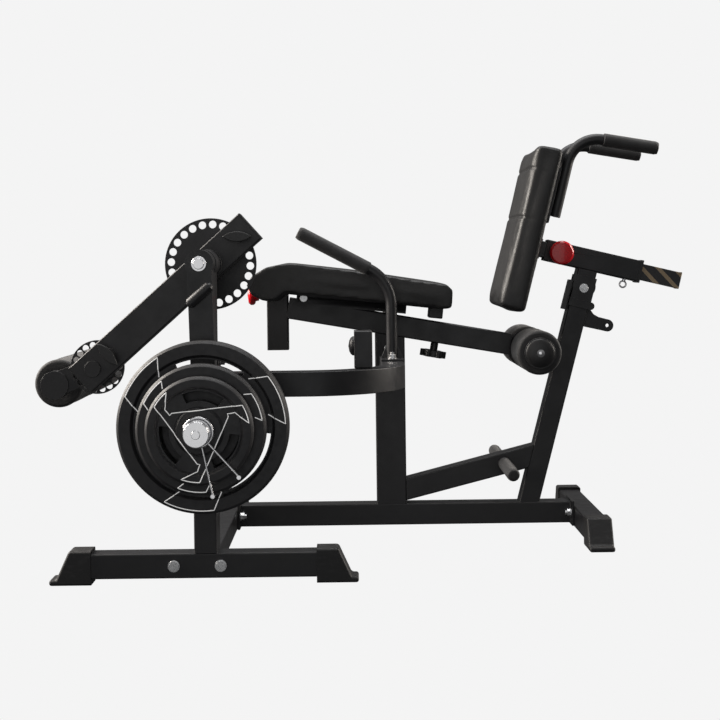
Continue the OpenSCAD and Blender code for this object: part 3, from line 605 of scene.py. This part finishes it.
def remeshed(node, inset, voxel, relax_steps, round_over=0.0):
    """An even voxel copy of a CAD solid, with its edges rolled over and drawn in by inset."""
    mesh = frame["nodes"][node].data.copy()
    bm = bmesh.new()
    bm.from_mesh(mesh)
    bmesh.ops.remove_doubles(bm, verts=bm.verts, dist=WELD)
    bmesh.ops.dissolve_limit(bm, angle_limit=math.radians(FACET_BEND), verts=bm.verts, edges=bm.edges)
    if round_over:
        rim = math.radians(12)
        sharp = [e for e in bm.edges if len(e.link_faces) == 2 and e.calc_face_angle(0.0) > rim]
        bmesh.ops.bevel(bm, geom=sharp, offset=round_over, offset_type="OFFSET", segments=4, profile=0.5,
                        affect="EDGES", clamp_overlap=True)
    bm.to_mesh(mesh)
    bm.free()
    obj = bpy.data.objects.new(node + "_work", mesh)
    bpy.context.scene.collection.objects.link(obj)
    remesh = obj.modifiers.new("voxels", "REMESH")
    remesh.mode = "VOXEL"
    remesh.voxel_size = voxel
    shrink = obj.modifiers.new("draw_in", "DISPLACE")
    shrink.strength = -inset
    shrink.mid_level = 0.0
    relax = obj.modifiers.new("relax", "SMOOTH")
    relax.iterations = relax_steps
    bpy.context.view_layer.update()
    result = bpy.data.meshes.new_from_object(obj.evaluated_get(bpy.context.evaluated_depsgraph_get()))
    bpy.data.objects.remove(obj)
    return result


def evened(mesh, moves, rounds):
    """Movement vectors averaged with their neighbours', to wash out wrinkles."""
    near = [[] for _ in moves]
    for edge in mesh.edges:
        a, b = edge.vertices
        near[a].append(b)
        near[b].append(a)
    for _ in range(rounds):
        moves = [(move + sum((moves[i] for i in near[n]), Vector())) / (1 + len(near[n]))
                 for n, move in enumerate(moves)]
    return moves


def inflate(mesh, pinned, cap, pressure=4.0, frames=20, even_rounds=14):
    """Blows a closed cloth up from inside, evens the result and caps how far each point may move."""
    obj = bpy.data.objects.new("inflating", mesh)
    bpy.context.scene.collection.objects.link(obj)
    start = [v.co.copy() for v in mesh.vertices]
    group = obj.vertex_groups.new(name="held")
    group.add([v.index for v in mesh.vertices if pinned(v.co)], 1.0, "REPLACE")
    cloth = obj.modifiers.new("cloth", "CLOTH")
    cloth.settings.use_pressure = True
    cloth.settings.uniform_pressure_force = pressure
    cloth.settings.vertex_group_mass = "held"
    cloth.settings.tension_stiffness = 30
    cloth.settings.compression_stiffness = 30
    cloth.settings.shear_stiffness = 20
    cloth.settings.bending_stiffness = 10
    cloth.settings.effector_weights.gravity = 0.0
    cloth.point_cache.frame_start = 1
    cloth.point_cache.frame_end = frames
    scene = bpy.context.scene
    for number in range(1, frames + 1):
        scene.frame_set(number)
    solved = obj.evaluated_get(bpy.context.evaluated_depsgraph_get()).to_mesh()
    moves = [v.co - first for v, first in zip(solved.vertices, start)]
    bpy.data.objects.remove(obj)
    for vertex, first, move in zip(mesh.vertices, start, evened(mesh, moves, even_rounds)):
        if move.length > cap:
            move = move * (cap / move.length)
        vertex.co = first + move
    scene.frame_set(1)


def press_seam(mesh, up, height, out, depth, width):
    """Draws the surface that faces out inward along a level line at a height."""
    mesh.update()
    normals = [v.normal.copy() for v in mesh.vertices]
    for vertex, normal in zip(mesh.vertices, normals):
        gap = vertex.co.dot(up) - height
        vertex.co -= normal * depth * math.exp(-(gap / width) ** 2) * max(0.0, normal.dot(out))


def stitch_line(name, mesh, points, way, body):
    """Short thread stitches laid on a surface, one under each pair of points, looking along a way."""
    thickness = 0.55 * MM
    proud = 0.3 * MM
    reach = 0.2
    tree = BVHTree.FromPolygons([v.co for v in mesh.vertices], [p.vertices for p in mesh.polygons])
    bm = bmesh.new()
    for first, second in zip(points[::2], points[1::2]):
        ends = []
        for point in (first, second):
            hit = tree.ray_cast(point - way * reach, way)[0]
            if hit is not None:
                ends.append(hit - way * proud)
        if len(ends) < 2:
            continue
        along = ends[1] - ends[0]
        turn = along.to_track_quat("Z", "Y").to_matrix().to_4x4()
        bmesh.ops.create_uvsphere(bm, u_segments=8, v_segments=6, radius=1.0, matrix=(
            Matrix.Translation((ends[0] + ends[1]) / 2) @ turn
            @ Matrix.Diagonal((thickness, thickness, along.length / 2, 1.0))))
    mesh_out = bpy.data.meshes.new(name)
    bm.to_mesh(mesh_out)
    bm.free()
    smooth(mesh_out, SOFT_BEND)
    return add_piece(name, mesh_out, THREAD, body)


def subdivided(mesh):
    """One Catmull-Clark step, applied."""
    obj = bpy.data.objects.new("subdividing", mesh)
    bpy.context.scene.collection.objects.link(obj)
    step = obj.modifiers.new("step", "SUBSURF")
    step.levels = 1
    step.render_levels = 1
    bpy.context.view_layer.update()
    result = bpy.data.meshes.new_from_object(obj.evaluated_get(bpy.context.evaluated_depsgraph_get()))
    bpy.data.objects.remove(obj)
    return result


def build_seat():
    """Seat cushion: inflated vinyl, held flat where it rests on its board behind the rolled nose."""
    low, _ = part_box("seat_pad")
    mesh = remeshed("seat_pad", 1 * MM, 5 * MM, 3, 10 * MM)
    board_fall = math.tan(math.radians(6.2))
    board_front = low.x + 91 * MM
    board_height = low.z + 41 * MM
    nose_end = low.x + 110 * MM

    def on_board(point):
        return point.x > nose_end and point.z < board_height - (point.x - board_front) * board_fall

    inflate(mesh, on_board, 4 * MM)
    mesh = subdivided(mesh)
    smooth(mesh, SOFT_BEND)
    add_piece("seat_cushion", mesh, VINYL, "seat", ("seat_pad",))


# How far up the back pad its two sewn channels run
SEAM_SHARES = (0.555, 0.853)


def build_back():
    """Back pad: inflated vinyl with two sewn channels across its front."""
    mesh = remeshed("back_pad", 1.5 * MM, 5 * MM, 3, 12 * MM)
    low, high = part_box("back_pad")
    lean = math.radians(14.2)
    up = Vector((math.sin(lean), 0, math.cos(lean)))
    out = Vector((-math.cos(lean), 0, math.sin(lean)))
    board_thickness = 10 * MM
    seam_depth = 2.8 * MM
    seam_width = 3.5 * MM
    margin = 10 * MM
    stitches = 36
    stitch_share = 0.65
    heights = [v.co.dot(up) for v in mesh.vertices]
    bottom, top = min(heights), max(heights)
    rear = min(v.co.dot(out) for v in mesh.vertices)

    def on_board(point):
        return point.dot(out) < rear + board_thickness

    inflate(mesh, on_board, 4 * MM)
    mesh = subdivided(mesh)
    front = max(v.co.dot(out) for v in mesh.vertices)
    left, right = low.y + margin, high.y - margin
    step = (right - left) / stitches
    for number, share in enumerate(SEAM_SHARES):
        height = bottom + (top - bottom) * share
        press_seam(mesh, up, height, out, seam_depth, seam_width)
        line = []
        for i in range(stitches):
            start = up * height + out * front + Vector((0, left + i * step, 0))
            line += [start, start + Vector((0, stitch_share * step, 0))]
        stitch_line("back_stitches_%d" % number, mesh, line, -out, "back_rest")
    smooth(mesh, SOFT_BEND)
    add_piece("back_cushion", mesh, VINYL, "back_rest", ("back_pad",))


# ---- Weight plates ----

# The plates' three arms, as turns from the first, in degrees
ARM_TURNS = (0, -120, -240)
LINE_WIDTH = 2.1 * MM
# Rim and waist of the smallest plate's star outline, as shares of its radius, the waist with degrees
STAR_RIM = 0.93
STAR_WAIST = ((0.74, 147), (0.66, 149), (0.61, 151), (0.6, 146))


def polar(centre, radius, angle):
    """One point at a radius and an angle in degrees round a centre."""
    return arc(centre, radius, angle, angle, 0, 1)[0]


def size_of(node):
    """Centre and radius of a plate."""
    low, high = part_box(node)
    return middle_of(node), (high.z - low.z) / 2


def draw_line(name, node, points, closed):
    """A printed line on a plate: a thin bead that follows the face, recess and all."""
    mesh = frame["nodes"][node].data
    tree = BVHTree.FromPolygons([v.co for v in mesh.vertices], [p.vertices for p in mesh.polygons])
    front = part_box(node)[0].y
    ahead = points[1:] + points[:1] if closed else points[1:]
    step_length = 3 * MM
    lift = 0.35 * MM
    reach = 50 * MM
    deepest = 20 * MM
    laid = []
    for here, after in zip(points, ahead):
        steps = max(1, int((after - here).length / step_length))
        laid += [here.lerp(after, i / steps) for i in range(steps)]
    if not closed:
        laid.append(points[-1])
    for point in laid:
        before = Vector((point.x, front - reach, point.z))
        hit = tree.ray_cast(before, Vector((0, 1, 0)), reach + deepest)[0]
        point.y = (front if hit is None else hit.y) + lift
    wire(name, laid, LINE_WIDTH / 2, INK, "weights", closed, 6)


def panel_outlines(node, rim, start, end, inner, skew):
    """Three arc-topped panels near the rim, from start to end degrees, with sides that lean by skew."""
    centre, radius = size_of(node)
    for number, turn in enumerate(ARM_TURNS):
        top = arc(centre, rim * radius, turn + start, turn + end, 0, 18)
        first = polar(centre, inner * radius, turn + start + skew)
        last = polar(centre, inner * radius, turn + end + skew)
        draw_line("%s_panel_%d" % (node, number), node, [first] + top + [last], False)


def star_outline(node):
    """The three-armed outline that fills the smallest plate's face."""
    centre, radius = size_of(node)
    points = []
    for turn in ARM_TURNS:
        points += arc(centre, STAR_RIM * radius, turn + 150.5, turn + 129, 0, 8)
        points += [polar(centre, share * radius, turn + angle) for share, angle in STAR_WAIST]
    draw_line(node + "_star", node, points, True)


def build_plates():
    """Three grip plates with generic outlined panels."""
    for node in ("large_plate", "medium_plate", "small_plate"):
        rounded(node, PLATE, corner=2.5 * MM, fine=1.5 * MM)
    panel_outlines("large_plate", rim=0.96, start=122, end=157.5, inner=0.77, skew=8.5)
    panel_outlines("medium_plate", rim=0.95, start=128, end=154.5, inner=0.85, skew=4.2)
    star_outline("small_plate")


# ---- Room, light and camera ----

def build_stage():
    """Even pale backdrop, soft studio light and the camera."""
    world = bpy.data.worlds.new("studio")
    world.use_nodes = True
    tree = world.node_tree
    light = tree.nodes["Background"]
    light.inputs["Strength"].default_value = 0.16
    backdrop = tree.nodes.new("ShaderNodeBackground")
    backdrop.inputs["Color"].default_value = (0.905, 0.905, 0.905, 1.0)
    place = tree.nodes.new("ShaderNodeTexCoord")
    split = tree.nodes.new("ShaderNodeSeparateXYZ")
    tree.links.new(place.outputs["Generated"], split.inputs["Vector"])
    height = remap(tree, split.outputs["Z"], -0.3, 0.6, 0.35, 1.0)
    tree.links.new(height, light.inputs["Color"])
    path = tree.nodes.new("ShaderNodeLightPath")
    mix = tree.nodes.new("ShaderNodeMixShader")
    tree.links.new(path.outputs["Is Camera Ray"], mix.inputs[0])
    tree.links.new(light.outputs[0], mix.inputs[1])
    tree.links.new(backdrop.outputs[0], mix.inputs[2])
    tree.links.new(mix.outputs[0], tree.nodes["World Output"].inputs["Surface"])
    bpy.context.scene.world = world

    warm, plain = (1.0, 0.93, 0.85), (1.0, 1.0, 1.0)
    lamps = (("key", (-3.0, 0.2, 1.9), 2.0, 260, warm),
             ("front_card", (-0.2, -4.4, 1.0), 3.2, 18, plain),
             ("top", (0.0, 0.4, 3.0), 2.4, 55, plain),
             ("right", (3.0, 0.8, 1.5), 1.8, 85, warm))
    aimed_at = Vector((0, 0, 0.45))
    for name, stand, size, watts, tint in lamps:
        panel = bpy.data.lights.new(name, "AREA")
        panel.size = size
        panel.energy = watts
        panel.color = tint
        lamp = bpy.data.objects.new(name, panel)
        lamp.location = stand
        lamp.rotation_euler = (aimed_at - Vector(stand)).to_track_quat("-Z", "Y").to_euler()
        bpy.context.scene.collection.objects.link(lamp)

    camera = bpy.data.cameras.new("camera")
    camera.sensor_width = 36.0
    camera.lens = 70.65
    camera.shift_x = 0.0097
    camera.shift_y = -0.1306
    view = bpy.data.objects.new("camera", camera)
    roll = -0.0125
    view.matrix_world = (Matrix.Translation((-0.045, -3.1215, 0.633)) @ Matrix.Rotation(math.pi / 2, 4, "X")
                         @ Matrix.Rotation(roll, 4, "Z"))
    bpy.context.scene.collection.objects.link(view)
    bpy.context.scene.camera = view
    bpy.context.scene.view_settings.view_transform = "Standard"


build_metalwork()
build_bright_metal()
build_hinge_bolts()
build_slide_tube()
build_foam()
build_rail_caps()
build_seat()
build_back()
build_plates()
build_stage()
